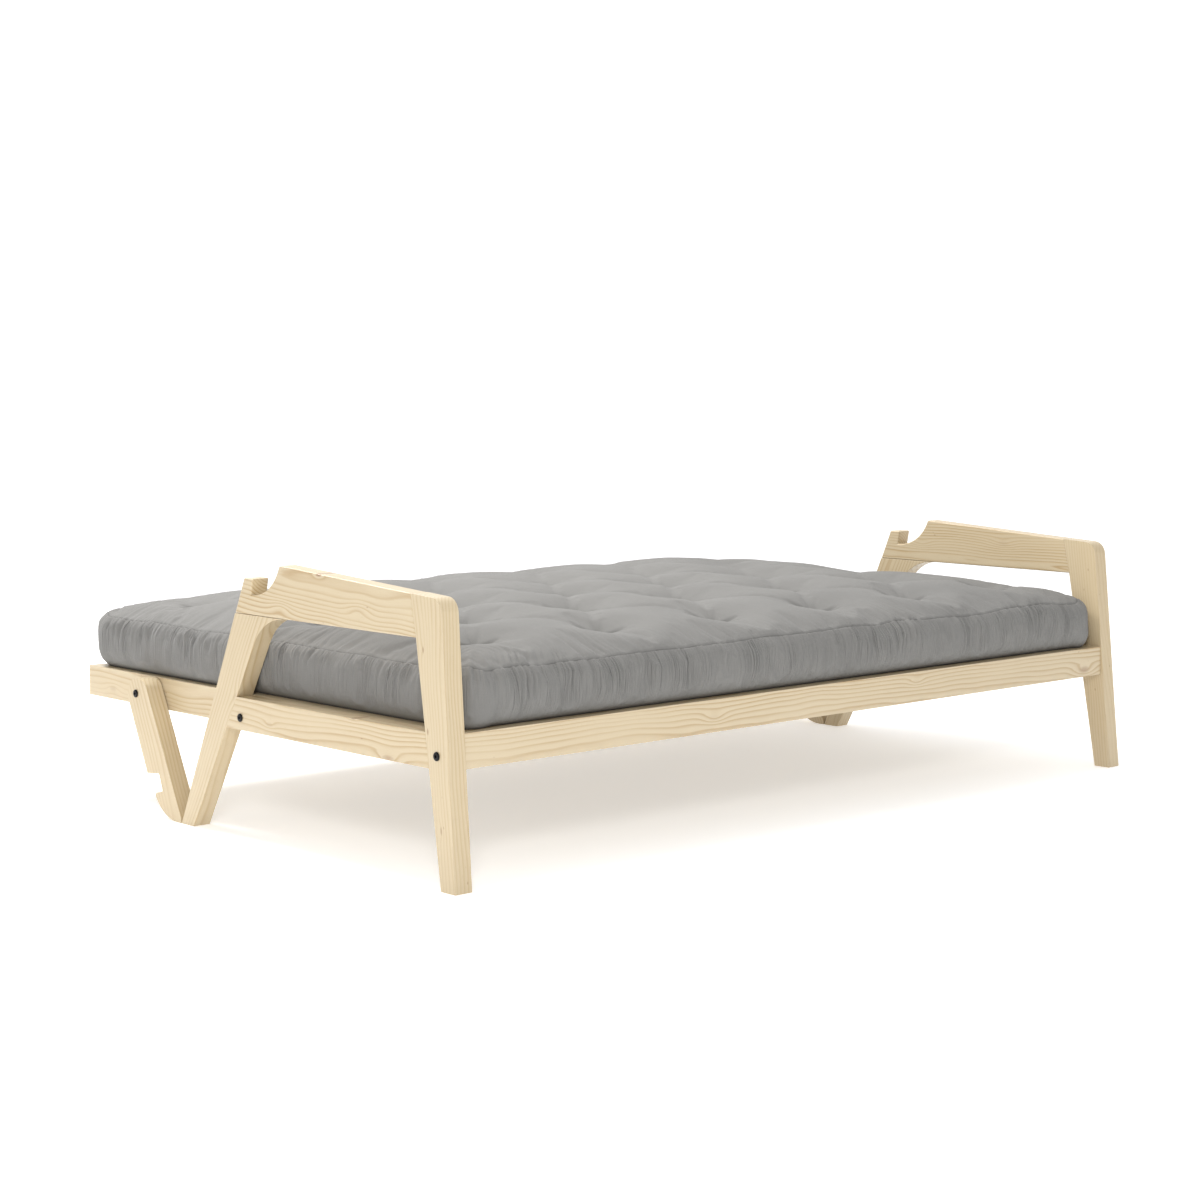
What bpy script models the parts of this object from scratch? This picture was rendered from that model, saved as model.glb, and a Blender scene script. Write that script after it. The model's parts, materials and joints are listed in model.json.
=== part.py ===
"""Futon sofa bed in its bed position.

Two pine end frames carry a slatted seat. A slatted back turns on a pivot behind the seat, and
two support legs turn on the back: they stand on the floor under the bed, and hook over the
stubs on the armrests when the back is raised. A futon lies over both frames.

Metres. X runs along the sofa, the front faces -Y, the floor is Z = 0.
"""
import math

import bmesh
import bpy
from mathutils import Matrix, Vector

# Overall
LENGTH = 2.040                   # over the outer faces of the two end frames
DEPTH = 1.3572                   # front foot to the far end of the opened back
TIMBER = 0.040                   # thickness of every end frame member and rail
GAP = 0.0003                     # air left between faces that touch
END_FRAME_X = LENGTH / 2 - TIMBER / 2

# Rails
RAIL_BOTTOM = 0.2205
RAIL_TOP = 0.2865
RAIL_MIDDLE = (RAIL_BOTTOM + RAIL_TOP) / 2
FRONT_RAIL_Y = -0.635            # middle of the front rail
SEAT_RAIL_X = END_FRAME_X - TIMBER - GAP
BACK_RAIL_OUTER_X = 0.978
BACK_RAIL_THICKNESS = 0.038
BACK_RAIL_X = BACK_RAIL_OUTER_X - BACK_RAIL_THICKNESS / 2
SEAT_REAR_RAIL_Y = 0.080
BACK_LOWER_RAIL_Y = 0.210
BACK_TOP_RAIL_Y = DEPTH / 2 - TIMBER / 2

# End frame edges, each as (y at the floor, change of y per metre of height)
FRONT_LEG_FRONT = (-0.6786, 0.077)
FRONT_LEG_BACK = (-0.6375, 0.162)
REAR_LEG_FRONT = (0.1862, -0.555)
REAR_LEG_BACK = (0.2318, -0.436)
ARMREST_BOTTOM = 0.457
ARMREST_TOP_AT_CENTRE = 0.5695   # height of the armrest's top line at y = 0
ARMREST_TOP_SLOPE = 0.057
ARMREST_FRONT_TOP_Y = -0.5475
FRONT_LEG_CORNER_RADIUS = 0.030
ARCH_RADIUS = 0.110              # where the rear leg runs into the armrest
ARCH_LIP = 0.0015                # thickness left at the thin end of the rear leg's head
STUB_TOP = 0.530
STUB_FRONT_TOP_Y = -0.030
STUB_FRONT_BOTTOM_Y = -0.0235
SADDLE_FLOOR = 0.497             # floor of the notch in front of the stub
SADDLE_RADIUS = 0.100
SADDLE_CENTRE_Y = -0.029
SADDLE_END_DEG = -160.8

# Joints
BACK_PIVOT = (0.148, RAIL_MIDDLE)
BACK_TRAVEL_DEG = 80.75
BACK_RAIL_END_RADIUS = 0.0325
SUPPORT_PIVOT = (0.4125, RAIL_MIDDLE)

# Support leg, where it stands on the floor
SUPPORT_FRONT_EDGE = (0.2293, 0.5305)
SUPPORT_BACK_EDGE = (0.3219, 0.512)
SUPPORT_HEEL_Y = 0.2345
SUPPORT_FOOT_RADIUS = 0.102
SUPPORT_FOOT_CENTRE_Y = 0.250
SUPPORT_FOOT_END_DEG = -33.5
SUPPORT_TOP_BACK_RADIUS = 0.0345
SUPPORT_TOP_FRONT_RADIUS = 0.036
HOOK_LIP = (0.3302, 0.0514)
HOOK_INNER_BOTTOM = (0.3060, 0.0565)
HOOK_INNER_TOP = (0.3211, 0.0927)
HOOK_MOUTH_Z = 0.0879
HOOK_CORNER_RADIUS = 0.003

# Slats and the ledgers that carry them
SLAT_COUNT = 9
SLAT_WIDTH = 0.090
SLAT_THICKNESS = 0.018
SLAT_PITCH = 0.208
LEDGER_WIDTH = 0.022
LEDGER_DEPTH = 0.0217
LEDGER_HALF_LENGTH = 0.915

# Fasteners
BOLT_RADIUS = 0.004
BOLT_HEAD_RADIUS = 0.0085
BOLT_HEAD_HEIGHT = 0.003
BOLT_HOLE_RADIUS = 0.0041
FRONT_BOLT = (-0.6258, 0.2457)
FRONT_BOLT_TIP_X = 0.915
REAR_BOLT = (0.0129, 0.2457)
SUPPORT_BOLT_TIP_X = 0.945
PIVOT_BOLT_TIP_X = 0.970
BARREL_NUT_X = 0.930
BARREL_NUT_RADIUS = 0.006
BARREL_NUT_LENGTH = 0.029
NUT_RADIUS = 0.0075
NUT_HEIGHT = 0.006
PLATE_THICKNESS = 0.004
PLATE_RADIUS = 0.022
WASHER_RADIUS = 0.012
FIT = 0.00015                    # extra radius of a hole that holds a nut or washer

# Futon
FUTON_HALF_LENGTH = 0.950
FUTON_BOTTOM = RAIL_TOP + GAP
FUTON_TOP = 0.425
FUTON_FRONT_Y = -0.648
FUTON_REAR_Y = 0.676
FUTON_EDGE_RADIUS = 0.045
FOLD_MARGIN_DEG = 1.0

PINE = ((0.76, 0.60, 0.38), 0.45, 0.0)
BLACK_STEEL = ((0.02, 0.02, 0.02), 0.35, 1.0)
ZINC_STEEL = ((0.60, 0.61, 0.62), 0.35, 1.0)
COTTON = ((0.30, 0.30, 0.31), 0.90, 0.0)

SIDES = (("left", -1), ("right", 1))


def clear_scene():
    for obj in list(bpy.data.objects):
        bpy.data.objects.remove(obj, do_unlink=True)


def add_collection(name):
    collection = bpy.data.collections.new(name)
    bpy.context.scene.collection.children.link(collection)
    return collection


def finish(obj, look):
    """Give the object its own Principled material."""
    color, roughness, metallic = look
    material = bpy.data.materials.new(obj.name)
    material.use_nodes = True
    shader = material.node_tree.nodes["Principled BSDF"]
    shader.inputs["Base Color"].default_value = (*color, 1.0)
    shader.inputs["Roughness"].default_value = roughness
    shader.inputs["Metallic"].default_value = metallic
    obj.data.materials.append(material)


def add_part(name, mesh, look, location=(0, 0, 0)):
    obj = bpy.data.objects.new(name, mesh)
    obj.location = location
    PARTS.objects.link(obj)
    finish(obj, look)
    return obj


def add_cutter(name, mesh):
    obj = bpy.data.objects.new(name, mesh)
    obj.hide_render = True
    obj.display_type = "WIRE"
    CUTTERS.objects.link(obj)
    return obj


def drill(obj, cutter):
    cut = obj.modifiers.new("Cut " + cutter.name, "BOOLEAN")
    cut.operation = "DIFFERENCE"
    cut.solver = "EXACT"
    cut.object = cutter


def box(name, low, high, look):
    """A box between two corners, with its origin at its middle."""
    low, high = Vector(low), Vector(high)
    shape = bmesh.new()
    bmesh.ops.create_cube(shape, size=1.0)
    bmesh.ops.scale(shape, vec=high - low, verts=shape.verts)
    mesh = bpy.data.meshes.new(name)
    shape.to_mesh(mesh)
    shape.free()
    return add_part(name, mesh, look, (low + high) / 2)


def edge_at(edge, z):
    """The point at height z on an edge given as (y at the floor, change of y per metre)."""
    return edge[0] + edge[1] * z, z


def arc(centre, radius, start_deg, end_deg, steps=10):
    """Points on an arc, with both its ends."""
    points = []
    for step in range(steps + 1):
        angle = math.radians(start_deg + (end_deg - start_deg) * step / steps)
        points.append((centre[0] + radius * math.cos(angle), centre[1] + radius * math.sin(angle)))
    return points


def round_corner(before, corner, after, radius, steps=8):
    """Points on the arc that rounds off one corner of an outline."""
    corner = Vector(corner)
    to_before = (Vector(before) - corner).normalized()
    to_after = (Vector(after) - corner).normalized()
    half_angle = to_before.angle(to_after) / 2
    centre = corner + (to_before + to_after).normalized() * radius / math.sin(half_angle)
    reach = radius / math.tan(half_angle)
    start = (corner + to_before * reach - centre).normalized()
    end = (corner + to_after * reach - centre).normalized()
    return [tuple(centre + start.slerp(end, step / steps) * radius) for step in range(steps + 1)]


def board(name, outline, x_middle, thickness, look, origin=(0.0, 0.0)):
    """A flat board whose outline is a list of (y, z) points, meshed from a filled 2D curve."""
    curve = bpy.data.curves.new(name, "CURVE")
    curve.dimensions = "2D"
    curve.fill_mode = "BOTH"
    curve.extrude = thickness / 2
    spline = curve.splines.new("POLY")
    spline.points.add(len(outline) - 1)
    spline.use_cyclic_u = True
    for point, (y, z) in zip(spline.points, outline):
        point.co = (y - origin[0], z - origin[1], 0, 1)
    flat = bpy.data.objects.new(name, curve)
    PARTS.objects.link(flat)
    flat.location = (x_middle, origin[0], origin[1])
    flat.rotation_euler = (math.pi / 2, 0, math.pi / 2)
    bpy.context.view_layer.update()
    mesh = bpy.data.meshes.new_from_object(flat.evaluated_get(bpy.context.evaluated_depsgraph_get()))
    shape = bmesh.new()
    shape.from_mesh(mesh)
    bmesh.ops.remove_doubles(shape, verts=shape.verts, dist=0.00001)
    shape.to_mesh(mesh)
    shape.free()
    placement = flat.matrix_world.copy()
    bpy.data.objects.remove(flat)
    obj = add_part(name, mesh, look)
    obj.matrix_world = placement
    return obj


def rod_mesh(name, span, radius, sides):
    """A closed rod between two points."""
    shape = bmesh.new()
    add_rod(shape, span, radius, sides)
    mesh = bpy.data.meshes.new(name)
    shape.to_mesh(mesh)
    shape.free()
    return mesh


def add_rod(shape, span, radius, sides):
    start, end = Vector(span[0]), Vector(span[1])
    direction = end - start
    turn = direction.to_track_quat("Z", "Y").to_matrix().to_4x4()
    bmesh.ops.create_cone(shape, cap_ends=True, segments=sides, radius1=radius, radius2=radius,
                          depth=direction.length, matrix=Matrix.Translation((start + end) / 2) @ turn)


def x_holes(name, y, z, low_x, high_x):
    """A cutter for the same bolt hole at both ends of the sofa."""
    shape = bmesh.new()
    for _, sign in SIDES:
        add_rod(shape, ((sign * low_x, y, z), (sign * high_x, y, z)), BOLT_HOLE_RADIUS, 32)
    mesh = bpy.data.meshes.new(name)
    shape.to_mesh(mesh)
    shape.free()
    return add_cutter(name, mesh)


def turned(name, profile, look, steps=32):
    """A round solid from (radius, height) points, which run from the top of its axis to the bottom."""
    mesh = bpy.data.meshes.new(name)
    points = [(radius, 0, height) for radius, height in profile]
    mesh.from_pydata(points, [(i, i + 1) for i in range(len(points) - 1)], [])
    obj = add_part(name, mesh, look)
    spin = obj.modifiers.new("Turn", "SCREW")
    spin.axis = "Z"
    spin.angle = 2 * math.pi
    spin.steps = steps
    spin.render_steps = steps
    spin.use_merge_vertices = True
    spin.merge_threshold = 0.00001
    spin.use_smooth_shade = True
    return obj


def along_x(obj, sign, x, y, z, outward=True):
    """Lay a turned part along X at one end of the sofa, its top facing outward or inward."""
    obj.location = (sign * x, y, z)
    obj.rotation_euler = (0, math.radians(90) * (sign if outward else -sign), 0)
    return obj


def attach(children, parent):
    """Parent the objects without moving them."""
    bpy.context.view_layer.update()
    for child in children:
        child.parent = parent
        child.matrix_parent_inverse = parent.matrix_world.inverted()


def bolt_profile(length):
    rim = BOLT_HEAD_RADIUS - 0.0012
    return [(0, BOLT_HEAD_HEIGHT), (rim, BOLT_HEAD_HEIGHT), (BOLT_HEAD_RADIUS, BOLT_HEAD_HEIGHT / 2),
            (BOLT_HEAD_RADIUS, 0), (BOLT_RADIUS, 0), (BOLT_RADIUS, -length), (0, -length)]


def ring_profile(outer, inner, height):
    return [(inner, height), (outer, height), (outer, 0), (inner, 0), (inner, height)]


# ---- End frames

def armrest_top(y):
    return y, ARMREST_TOP_AT_CENTRE + ARMREST_TOP_SLOPE * y


def front_leg_outline():
    corner_z = armrest_top(FRONT_LEG_FRONT[0])[1]
    front_top = armrest_top(edge_at(FRONT_LEG_FRONT, corner_z)[0])
    foot_front = edge_at(FRONT_LEG_FRONT, 0)
    back_top = armrest_top(ARMREST_FRONT_TOP_Y)
    corner = round_corner(back_top, front_top, foot_front, FRONT_LEG_CORNER_RADIUS)
    back = [edge_at(FRONT_LEG_BACK, 0), edge_at(FRONT_LEG_BACK, ARMREST_BOTTOM), back_top]
    return [foot_front, *back, *corner]


def armrest_outline():
    front_bottom = edge_at(FRONT_LEG_BACK, ARMREST_BOTTOM)
    front_top = armrest_top(ARMREST_FRONT_TOP_Y)
    saddle = arc((SADDLE_CENTRE_Y, SADDLE_FLOOR + SADDLE_RADIUS), SADDLE_RADIUS, -90, SADDLE_END_DEG, 16)
    shoulder = armrest_top(saddle[-1][0])
    return [(front_bottom[0] + GAP, ARMREST_BOTTOM), edge_at(REAR_LEG_BACK, ARMREST_BOTTOM),
            edge_at(REAR_LEG_BACK, STUB_TOP), (STUB_FRONT_TOP_Y, STUB_TOP),
            (STUB_FRONT_BOTTOM_Y, SADDLE_FLOOR), *saddle[:-1], shoulder, (front_top[0] + GAP, front_top[1])]


def rear_leg_outline():
    head = ARMREST_BOTTOM - GAP
    arch_top = head - ARCH_LIP
    lean = math.hypot(1, REAR_LEG_FRONT[1])
    centre_z = arch_top - ARCH_RADIUS
    centre_y = edge_at(REAR_LEG_FRONT, centre_z)[0] - ARCH_RADIUS * lean
    end_deg = math.degrees(math.atan2(-REAR_LEG_FRONT[1], 1))
    arch = arc((centre_y, centre_z), ARCH_RADIUS, 90, end_deg, 12)
    return [edge_at(REAR_LEG_FRONT, 0), edge_at(REAR_LEG_BACK, 0), edge_at(REAR_LEG_BACK, head),
            (centre_y, head), *arch]


def side_rail_outline():
    low_front, high_front = edge_at(FRONT_LEG_BACK, RAIL_BOTTOM), edge_at(FRONT_LEG_BACK, RAIL_TOP)
    low_rear, high_rear = edge_at(REAR_LEG_FRONT, RAIL_BOTTOM), edge_at(REAR_LEG_FRONT, RAIL_TOP)
    return [(low_front[0] + GAP, low_front[1]), (low_rear[0] - GAP, low_rear[1]),
            (high_rear[0] - GAP, high_rear[1]), (high_front[0] + GAP, high_front[1])]


def end_frame(side, sign, front_bolt_holes, rear_bolt_holes):
    x = sign * END_FRAME_X
    front_leg = board(side + "_front_leg", front_leg_outline(), x, TIMBER, PINE)
    board(side + "_rear_leg", rear_leg_outline(), x, TIMBER, PINE)
    board(side + "_armrest", armrest_outline(), x, TIMBER, PINE)
    side_rail = board(side + "_side_rail", side_rail_outline(), x, TIMBER, PINE)
    drill(front_leg, front_bolt_holes)
    drill(side_rail, rear_bolt_holes)


# ---- Slatted frames

def cross_rail(name, y, half_length):
    low = (-half_length, y - TIMBER / 2, RAIL_BOTTOM)
    high = (half_length, y + TIMBER / 2, RAIL_TOP)
    return box(name, low, high, PINE)


def slats_and_ledgers(prefix, front_y, rear_y, front_name, rear_name):
    """Slats between two cross rails, and the ledgers under their ends."""
    top = RAIL_TOP - SLAT_THICKNESS - GAP
    front, rear = front_y + GAP, rear_y - GAP
    parts = [
        box(front_name, (-LEDGER_HALF_LENGTH, front, top - LEDGER_DEPTH),
            (LEDGER_HALF_LENGTH, front + LEDGER_WIDTH, top), PINE),
        box(rear_name, (-LEDGER_HALF_LENGTH, rear - LEDGER_WIDTH, top - LEDGER_DEPTH),
            (LEDGER_HALF_LENGTH, rear, top), PINE),
    ]
    first_x = -SLAT_PITCH * (SLAT_COUNT - 1) / 2
    for i in range(SLAT_COUNT):
        x = first_x + i * SLAT_PITCH
        parts.append(box(f"{prefix}_slat_{i + 1:02d}", (x - SLAT_WIDTH / 2, front, RAIL_TOP - SLAT_THICKNESS),
                         (x + SLAT_WIDTH / 2, rear, RAIL_TOP), PINE))
    return parts


def seat_frame(front_bolt_holes, rear_bolt_holes, pivot_holes):
    front_rail = cross_rail("front_rail", FRONT_RAIL_Y, END_FRAME_X - TIMBER / 2 - GAP)
    drill(front_rail, front_bolt_holes)
    cross_rail("seat_rear_rail", SEAT_REAR_RAIL_Y, SEAT_RAIL_X - TIMBER / 2 - PLATE_THICKNESS - 2 * GAP)
    slats_and_ledgers("seat", FRONT_RAIL_Y + TIMBER / 2, SEAT_REAR_RAIL_Y - TIMBER / 2,
                      "seat_front_ledger", "seat_rear_ledger")
    nut_end = FRONT_RAIL_Y + TIMBER / 2 - GAP
    for side, sign in SIDES:
        nut_x = sign * BARREL_NUT_X
        nut_start = nut_end - BARREL_NUT_LENGTH
        nut_span = ((nut_x, nut_start, FRONT_BOLT[1]), (nut_x, nut_end, FRONT_BOLT[1]))
        nut = add_part(side + "_barrel_nut", rod_mesh(side + "_barrel_nut", nut_span, BARREL_NUT_RADIUS, 20),
                       ZINC_STEEL)
        drill(nut, front_bolt_holes)
        hole_span = ((nut_x, nut_start - GAP, FRONT_BOLT[1]), (nut_x, nut_end + 0.002, FRONT_BOLT[1]))
        hole = side + "_barrel_nut_hole"
        drill(front_rail, add_cutter(hole, rod_mesh(hole, hole_span, BARREL_NUT_RADIUS + FIT, 20)))
        inner, outer = SEAT_RAIL_X - TIMBER / 2, SEAT_RAIL_X + TIMBER / 2
        low = (min(sign * inner, sign * outer), FRONT_RAIL_Y + TIMBER / 2 + GAP, RAIL_BOTTOM)
        high = (max(sign * inner, sign * outer), BACK_PIVOT[0] - BACK_RAIL_END_RADIUS - 0.002, RAIL_TOP)
        seat_rail = box(side + "_seat_rail", low, high, PINE)
        plate = pivot_plate(side, sign)
        drill(seat_rail, rear_bolt_holes)
        drill(plate, rear_bolt_holes)
        drill(plate, pivot_holes)


def pivot_plate(side, sign):
    """A steel plate with round ends about the rear bolt and the back's pivot."""
    run = math.degrees(math.atan2(BACK_PIVOT[1] - REAR_BOLT[1], BACK_PIVOT[0] - REAR_BOLT[0]))
    outline = arc(REAR_BOLT, PLATE_RADIUS, run + 90, run + 270, 14)
    outline += arc(BACK_PIVOT, PLATE_RADIUS, run - 90, run + 90, 14)
    x = sign * (SEAT_RAIL_X - TIMBER / 2 - GAP - PLATE_THICKNESS / 2)
    return board(side + "_pivot_plate", outline, x, PLATE_THICKNESS, ZINC_STEEL)


def back_rail_outline():
    end = arc(BACK_PIVOT, BACK_RAIL_END_RADIUS, 90, 270, 16)
    return end + [(BACK_PIVOT[0], RAIL_BOTTOM), (DEPTH / 2, RAIL_BOTTOM), (DEPTH / 2, RAIL_TOP),
                  (BACK_PIVOT[0], RAIL_TOP)]


def back_frame(pivot_holes, support_holes):
    half = BACK_RAIL_X - BACK_RAIL_THICKNESS / 2 - GAP
    lower = cross_rail("back_lower_rail", BACK_LOWER_RAIL_Y, half)
    top = cross_rail("back_top_rail", BACK_TOP_RAIL_Y, half)
    parts = [lower, top]
    for side, sign in SIDES:
        rail = board(side + "_back_rail", back_rail_outline(), sign * BACK_RAIL_X, BACK_RAIL_THICKNESS, PINE,
                     BACK_PIVOT)
        drill(rail, pivot_holes)
        drill(rail, support_holes)
        parts.append(rail)
    return parts + slats_and_ledgers("back", BACK_LOWER_RAIL_Y + TIMBER / 2, BACK_TOP_RAIL_Y - TIMBER / 2,
                                     "back_lower_ledger", "back_top_ledger")


# ---- Support legs

def support_leg_outline():
    foot_centre = (SUPPORT_FOOT_CENTRE_Y, SUPPORT_FOOT_RADIUS)
    foot = arc(foot_centre, SUPPORT_FOOT_RADIUS, -90, SUPPORT_FOOT_END_DEG, 10)
    mouth = edge_at(SUPPORT_BACK_EDGE, HOOK_MOUTH_Z)
    top_back = edge_at(SUPPORT_BACK_EDGE, RAIL_TOP)
    top_front = edge_at(SUPPORT_FRONT_EDGE, RAIL_TOP)
    heel_z = (SUPPORT_HEEL_Y - SUPPORT_FRONT_EDGE[0]) / SUPPORT_FRONT_EDGE[1]
    heel = (SUPPORT_HEEL_Y, heel_z)
    inner_bottom = round_corner(HOOK_LIP, HOOK_INNER_BOTTOM, HOOK_INNER_TOP, HOOK_CORNER_RADIUS, 3)
    inner_top = round_corner(HOOK_INNER_BOTTOM, HOOK_INNER_TOP, mouth, HOOK_CORNER_RADIUS, 3)
    back_corner = round_corner(mouth, top_back, top_front, SUPPORT_TOP_BACK_RADIUS, 12)
    front_corner = round_corner(top_back, top_front, heel, SUPPORT_TOP_FRONT_RADIUS, 10)
    return [(SUPPORT_HEEL_Y, 0), *foot, HOOK_LIP, *inner_bottom, *inner_top, mouth, *back_corner,
            *front_corner, heel]


def support_legs(support_holes):
    legs = []
    for side, sign in SIDES:
        x = sign * END_FRAME_X
        leg = board(side + "_support_leg", support_leg_outline(), x, TIMBER, PINE, SUPPORT_PIVOT)
        drill(leg, support_holes)
        legs.append(leg)
    return legs


# ---- Fasteners and futon

def fasteners(side, sign):
    """One end's bolts, nuts and washer; returns those that move with the back."""
    face = LENGTH / 2 + GAP
    front = turned(side + "_front_bolt", bolt_profile(face - FRONT_BOLT_TIP_X), BLACK_STEEL)
    along_x(front, sign, face, *FRONT_BOLT)
    nut_face = SEAT_RAIL_X - TIMBER / 2 - 2 * GAP - PLATE_THICKNESS
    rear = turned(side + "_rear_bolt", bolt_profile(face - nut_face + NUT_HEIGHT), BLACK_STEEL)
    along_x(rear, sign, face, *REAR_BOLT)
    nut = turned(side + "_rear_nut", ring_profile(NUT_RADIUS, BOLT_RADIUS + FIT, NUT_HEIGHT), ZINC_STEEL, 24)
    along_x(nut, sign, nut_face - NUT_HEIGHT, *REAR_BOLT)
    pivot = turned(side + "_pivot_bolt", bolt_profile(PIVOT_BOLT_TIP_X - nut_face), ZINC_STEEL)
    along_x(pivot, sign, nut_face, *BACK_PIVOT, outward=False)
    support = turned(side + "_support_bolt", bolt_profile(face - SUPPORT_BOLT_TIP_X), BLACK_STEEL)
    along_x(support, sign, face, *SUPPORT_PIVOT)
    room = END_FRAME_X - TIMBER / 2 - BACK_RAIL_OUTER_X - 2 * GAP
    ring = ring_profile(WASHER_RADIUS, BOLT_RADIUS + FIT, room)
    washer = turned(side + "_support_washer", ring, ZINC_STEEL, 24)
    along_x(washer, sign, BACK_RAIL_OUTER_X + GAP, *SUPPORT_PIVOT)
    return [support, washer]


def fold_y(z, sign):
    """Where the futon parts at the fold, ahead of the pivot (-1) or behind it (1)."""
    angle = math.radians(BACK_TRAVEL_DEG / 2 + FOLD_MARGIN_DEG)
    return BACK_PIVOT[0] + sign * (z - BACK_PIVOT[1]) * math.tan(angle)


def futon():
    """Plain solids for the futon: over the seat, over the back, and the wedge between them."""
    bottom, top, radius = FUTON_BOTTOM, FUTON_TOP, FUTON_EDGE_RADIUS
    width = 2 * FUTON_HALF_LENGTH
    seat_low, seat_high = (fold_y(bottom, -1), bottom), (fold_y(top, -1), top)
    front_low, front_high = (FUTON_FRONT_Y, bottom), (FUTON_FRONT_Y, top)
    seat = [*round_corner(front_high, front_low, seat_low, radius, 4), seat_low, seat_high,
            *round_corner(seat_high, front_high, front_low, radius, 4)]
    board("seat_mattress", seat, 0, width, COTTON)
    back_low, back_high = (fold_y(bottom, 1), bottom), (fold_y(top, 1), top)
    rear_low, rear_high = (FUTON_REAR_Y, bottom), (FUTON_REAR_Y, top)
    back = [back_low, *round_corner(back_low, rear_low, rear_high, radius, 4),
            *round_corner(rear_low, rear_high, back_high, radius, 4), back_high]
    back_part = board("back_mattress", back, 0, width, COTTON, BACK_PIVOT)
    fold = [(seat_low[0] + GAP * 2, bottom), (back_low[0] - GAP * 2, bottom),
            (back_high[0] - GAP * 2, top), (seat_high[0] + GAP * 2, top)]
    board("mattress_fold", fold, 0, width, COTTON)
    return back_part


def main():
    end_x = LENGTH / 2 + 0.01
    front_holes = x_holes("front_bolt_holes", *FRONT_BOLT, FRONT_BOLT_TIP_X - 0.003, end_x)
    rear_holes = x_holes("rear_bolt_holes", *REAR_BOLT, SEAT_RAIL_X - TIMBER, end_x)
    pivot_holes = x_holes("pivot_bolt_holes", *BACK_PIVOT, SEAT_RAIL_X - TIMBER, PIVOT_BOLT_TIP_X + 0.002)
    support_holes = x_holes("support_bolt_holes", *SUPPORT_PIVOT, SUPPORT_BOLT_TIP_X - 0.002, end_x)
    seat_frame(front_holes, rear_holes, pivot_holes)
    moving = back_frame(pivot_holes, support_holes) + support_legs(support_holes) + [futon()]
    for side, sign in SIDES:
        end_frame(side, sign, front_holes, rear_holes)
        moving += fasteners(side, sign)
    pivot = bpy.data.objects.new("back_pivot", None)
    PARTS.objects.link(pivot)
    pivot.location = (0, *BACK_PIVOT)
    attach(moving, pivot)


clear_scene()
PARTS = add_collection("futon_sofa_bed")
CUTTERS = add_collection("cutters")
main()
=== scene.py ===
"""Looks of the futon sofa bed: lacquered pine, black bolts and a tufted grey futon, in a pale studio."""
import json
import math

import bpy
import numpy as np
from mathutils import Matrix, Vector

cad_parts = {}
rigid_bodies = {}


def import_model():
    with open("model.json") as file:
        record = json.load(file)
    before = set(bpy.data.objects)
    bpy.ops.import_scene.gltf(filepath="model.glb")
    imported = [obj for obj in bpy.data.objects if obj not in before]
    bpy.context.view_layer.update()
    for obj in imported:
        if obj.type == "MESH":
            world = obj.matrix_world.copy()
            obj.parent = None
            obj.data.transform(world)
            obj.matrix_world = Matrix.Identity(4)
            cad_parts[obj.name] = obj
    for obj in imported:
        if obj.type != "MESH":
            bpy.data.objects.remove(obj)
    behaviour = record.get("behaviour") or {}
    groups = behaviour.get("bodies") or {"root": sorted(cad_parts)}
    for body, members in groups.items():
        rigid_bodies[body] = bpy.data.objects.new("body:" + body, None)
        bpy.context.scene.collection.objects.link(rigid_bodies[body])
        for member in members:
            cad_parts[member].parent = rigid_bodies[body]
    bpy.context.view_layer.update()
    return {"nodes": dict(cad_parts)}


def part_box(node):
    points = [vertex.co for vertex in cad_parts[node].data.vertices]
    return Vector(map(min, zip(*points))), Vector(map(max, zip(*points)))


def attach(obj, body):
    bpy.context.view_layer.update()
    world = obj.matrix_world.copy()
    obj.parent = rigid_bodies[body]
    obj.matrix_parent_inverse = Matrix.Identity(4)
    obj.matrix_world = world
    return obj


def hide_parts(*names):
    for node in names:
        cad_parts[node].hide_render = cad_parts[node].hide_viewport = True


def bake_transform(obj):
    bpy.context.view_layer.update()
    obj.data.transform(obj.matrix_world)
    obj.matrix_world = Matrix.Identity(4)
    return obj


# The scene starts empty, whatever Blender opened with
for stray in list(bpy.data.objects):
    bpy.data.objects.remove(stray, do_unlink=True)
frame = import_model()
NODES = frame["nodes"]
SIDES = ("left", "right")

# Camera, level, in front of the near end; the picture is the lower part of its view
CAMERA_PLACE = (-3.7028, -3.9997, 0.964)
CAMERA_HEADING_DEG = -42.4546
CAMERA_LENS = 70.59
CAMERA_SHIFT_Y = -0.1971

# Studio: each light's name, place, target, size and power
LIGHTS = (
    ("key", (-1.0, 2.2, 3.0), (-0.2, 0.0, 0.3), 1.2, 96),
    ("top", (-0.3, 0.4, 4.0), (-0.2, 0.0, 0.3), 2.4, 80),
    ("side", (-3.6, -3.6, 2.3), (0.4, -0.4, 0.3), 0.9, 74),
)
LIGHT_COLOR = (1.0, 0.985, 0.965)
SKY_STRENGTH = 0.66
FLOOR_GLOW = 0.40
FLOOR_NEAR = -14.0
FLOOR_FAR = 9.0
FLOOR_HALF_WIDTH = 16.0
WALL_RADIUS = 4.0
WALL_TOP = 12.0
WALL_STEPS = 12

# Futon: its outline, kept inside the frame
FUTON_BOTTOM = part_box("seat_mattress")[0].z
FUTON_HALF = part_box("seat_mattress")[1].x + 0.004
FUTON_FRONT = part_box("seat_mattress")[0].y + 0.014
FUTON_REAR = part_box("back_mattress")[1].y + 0.004
PLAN_RADIUS = 0.055
END_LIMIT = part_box("right_support_leg")[0].x - 0.001
END_GIVE = 0.006

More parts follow.
